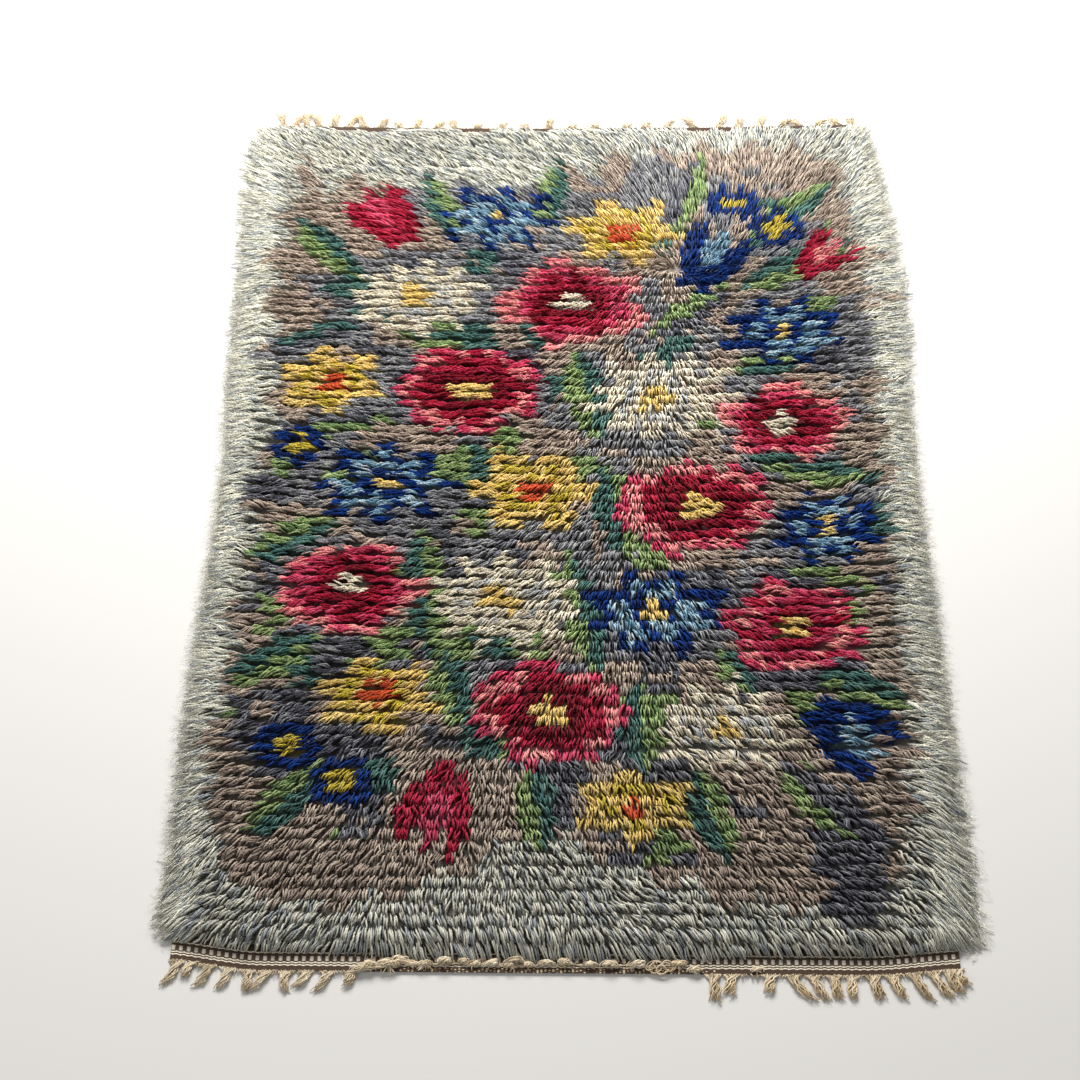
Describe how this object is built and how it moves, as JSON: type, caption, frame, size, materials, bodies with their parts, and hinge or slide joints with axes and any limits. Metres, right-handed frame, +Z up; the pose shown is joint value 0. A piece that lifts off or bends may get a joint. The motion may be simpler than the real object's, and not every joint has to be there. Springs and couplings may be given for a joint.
{
  "type": "rya rug",
  "caption": "Flat rectangular shag rug with a woven ground, a lumpy knotted yarn pile, a woven heading at each end and short cotton fringe.",
  "frame": {"origin": "on the floor, under the middle of the whole rug, fringe and pile included", "axes": "+Z up through the pile, +Y along the rug towards its far end, +X across the rug along the knot rows"},
  "size_m": [1.0002, 1.3876, 0.025],
  "materials": {
    "ground_weave": "matte woven wool on a cotton warp",
    "heading": "matte weft-faced wool band, dark brown with pale lines",
    "pile": "two-ply wool pile, soft sheen",
    "fringe": "undyed cotton yarn, matte"
  },
  "bodies": {
    "root": {"ground_weave": "ground_weave", "near_heading": "heading", "far_heading": "heading", "pile": "pile", "near_fringe_left": "fringe", "near_fringe_knots": "fringe", "near_fringe_right": "fringe", "far_fringe": "fringe"}
  },
  "joints": []
}
